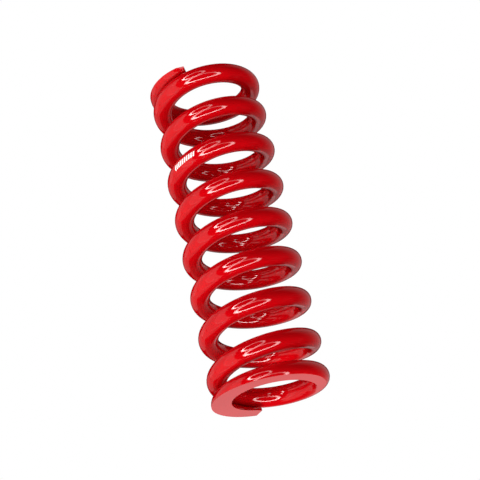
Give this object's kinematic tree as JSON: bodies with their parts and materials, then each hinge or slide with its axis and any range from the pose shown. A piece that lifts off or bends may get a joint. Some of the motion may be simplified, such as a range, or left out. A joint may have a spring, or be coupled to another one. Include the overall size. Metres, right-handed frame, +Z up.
{
  "type": "shock spring",
  "caption": "Helical compression spring of round steel wire with closed and ground ends, made to sit around the damper of a shock absorber.",
  "frame": {"origin": "centre of the lower ground end, on the spring's axis", "axes": "+Z up the spring's axis from the lower ground end to the upper one; -Y is the side that the picture shows; the wire's lower tip is 106 degrees around from +X, seen from above"},
  "size_m": [0.0542, 0.0542, 0.1616],
  "materials": {
    "spring_wire": "gloss red powder coat"
  },
  "bodies": {
    "root": {"coil_spring": "spring_wire"}
  },
  "joints": []
}
